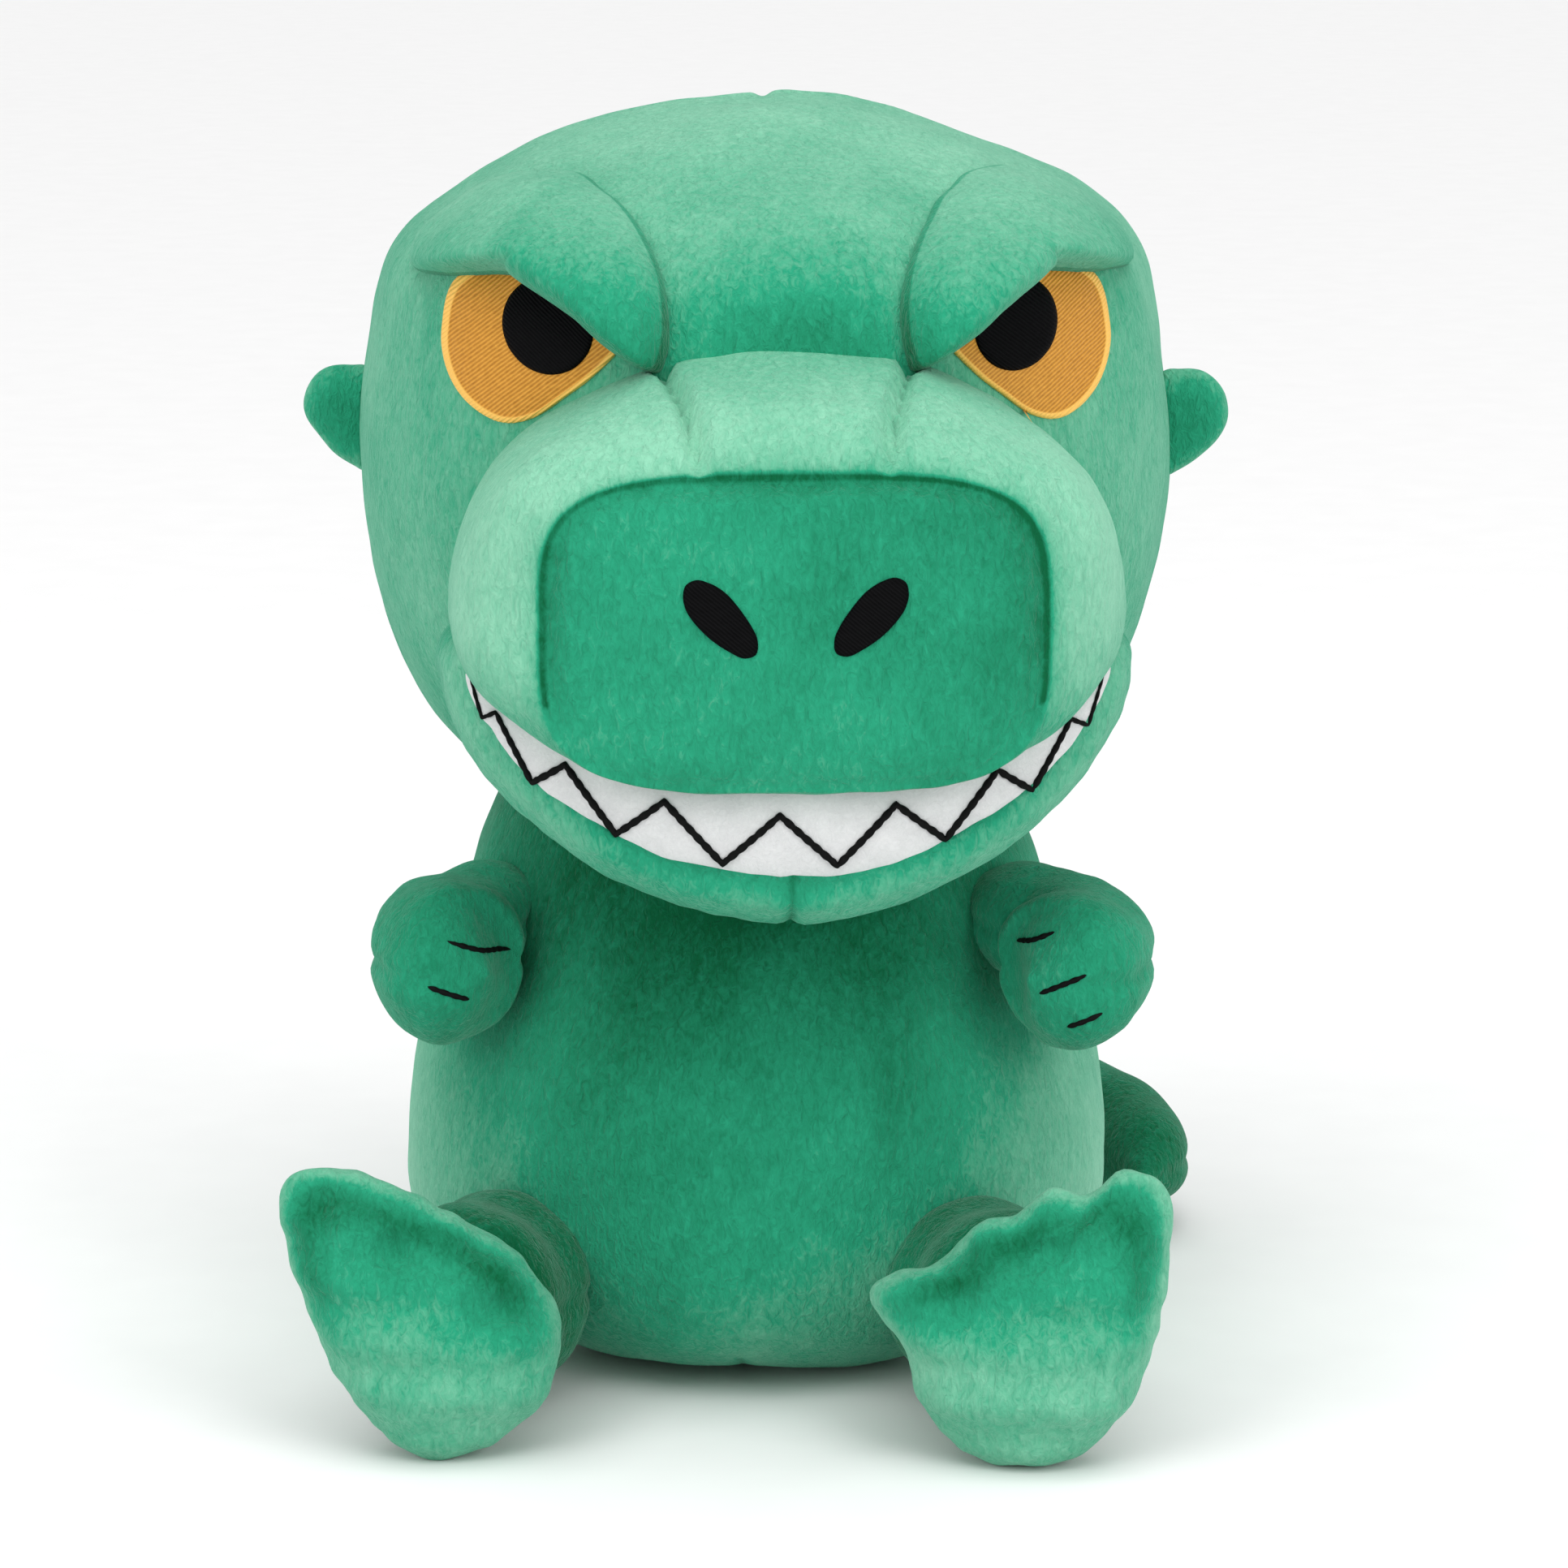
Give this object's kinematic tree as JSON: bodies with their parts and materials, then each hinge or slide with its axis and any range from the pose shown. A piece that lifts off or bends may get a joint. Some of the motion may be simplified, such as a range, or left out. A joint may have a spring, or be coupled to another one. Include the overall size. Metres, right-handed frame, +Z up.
{
  "type": "stuffed dinosaur",
  "caption": "Sitting stuffed dinosaur with a large head, square snout, toothed grin, stub arms, splayed feet and a curled tail.",
  "frame": {"origin": "middle of the flat seat panel, on the surface that the toy sits on", "axes": "+Z up through the body to the crown, the belly faces -Y, +X is the viewer's right when the toy is seen from in front"},
  "size_m": [0.1526, 0.1773, 0.203],
  "materials": {
    "green_pile": "matte",
    "stuffing": "matte",
    "pellet_bag": "matte",
    "tooth_felt": "matte",
    "black_thread": "satin",
    "black_embroidery": "satin",
    "gold_embroidery": "satin"
  },
  "bodies": {
    "torso": {"seat_panel": "green_pile", "belly_panel": "green_pile", "back_left_panel": "green_pile", "back_right_panel": "green_pile", "pellet_bag": "pellet_bag", "body_stuffing": "stuffing"},
    "head": {"forehead_panel": "green_pile", "left_cheek_panel": "green_pile", "right_cheek_panel": "green_pile", "head_back_left_panel": "green_pile", "head_back_right_panel": "green_pile", "head_stuffing": "stuffing", "snout_top_panel": "green_pile", "snout_left_panel": "green_pile", "snout_right_panel": "green_pile", "nose_panel": "green_pile", "snout_stuffing": "stuffing", "left_nostril": "black_embroidery", "right_nostril": "black_embroidery", "jaw_left_panel": "green_pile", "jaw_right_panel": "green_pile", "jaw_stuffing": "stuffing", "teeth_band": "tooth_felt", "tooth_stitches": "black_thread", "left_brow": "green_pile", "right_brow": "green_pile", "left_eye": "gold_embroidery", "right_eye": "gold_embroidery", "left_pupil": "black_embroidery", "right_pupil": "black_embroidery"},
    "tail": {"tail_upper_panel": "green_pile", "tail_lower_panel": "green_pile", "tail_stuffing": "stuffing"},
    "left_ear": {"left_ear_front": "green_pile", "left_ear_back": "green_pile"},
    "left_arm": {"left_arm_sleeve": "green_pile", "left_palm_panel": "green_pile", "left_arm_stuffing": "stuffing", "left_claw_stitches": "black_thread"},
    "left_leg": {"left_leg_sleeve": "green_pile", "left_instep_panel": "green_pile", "left_sole_panel": "green_pile", "left_leg_stuffing": "stuffing"},
    "right_ear": {"right_ear_front": "green_pile", "right_ear_back": "green_pile"},
    "right_arm": {"right_arm_sleeve": "green_pile", "right_palm_panel": "green_pile", "right_arm_stuffing": "stuffing", "right_claw_stitches": "black_thread"},
    "right_leg": {"right_leg_sleeve": "green_pile", "right_instep_panel": "green_pile", "right_sole_panel": "green_pile", "right_leg_stuffing": "stuffing"}
  },
  "joints": [
    {"name": "neck_nod", "type": "hinge", "parent": "torso", "child": "head", "pos_m": [0, 0, 0.07], "axis": [1, 0, 0], "range_deg": [-10, 12], "stiffness_Nm_per_rad": 2},
    {"name": "tail_swing", "type": "hinge", "parent": "torso", "child": "tail", "pos_m": [0.00384, 0.05487, 0.021], "axis": [0, 0, 1], "range_deg": [-3, 30], "stiffness_Nm_per_rad": 0.2},
    {"name": "left_shoulder_swing", "type": "hinge", "parent": "torso", "child": "left_arm", "pos_m": [-0.0396, -0.02286, 0.075], "axis": [1, 0, 0], "range_deg": [-20, 12], "stiffness_Nm_per_rad": 0.15},
    {"name": "left_hip_swing", "type": "hinge", "parent": "torso", "child": "left_leg", "pos_m": [-0.03524, -0.04352, 0.018], "axis": [1, 0, 0], "range_deg": [-20, 12], "stiffness_Nm_per_rad": 0.6},
    {"name": "left_ear_flop", "type": "hinge", "parent": "head", "child": "left_ear", "pos_m": [-0.0688, 0.003, 0.15064], "axis": [0, 0, 1], "range_deg": [-15, 15], "stiffness_Nm_per_rad": 0.01},
    {"name": "right_shoulder_swing", "type": "hinge", "parent": "torso", "child": "right_arm", "pos_m": [0.0396, -0.02286, 0.075], "axis": [1, 0, 0], "range_deg": [-20, 12], "stiffness_Nm_per_rad": 0.15},
    {"name": "right_hip_swing", "type": "hinge", "parent": "torso", "child": "right_leg", "pos_m": [0.03524, -0.04352, 0.018], "axis": [1, 0, 0], "range_deg": [-20, 12], "stiffness_Nm_per_rad": 0.6},
    {"name": "right_ear_flop", "type": "hinge", "parent": "head", "child": "right_ear", "pos_m": [0.0688, 0.003, 0.15064], "axis": [0, 0, 1], "range_deg": [-15, 15], "stiffness_Nm_per_rad": 0.01}
  ]
}
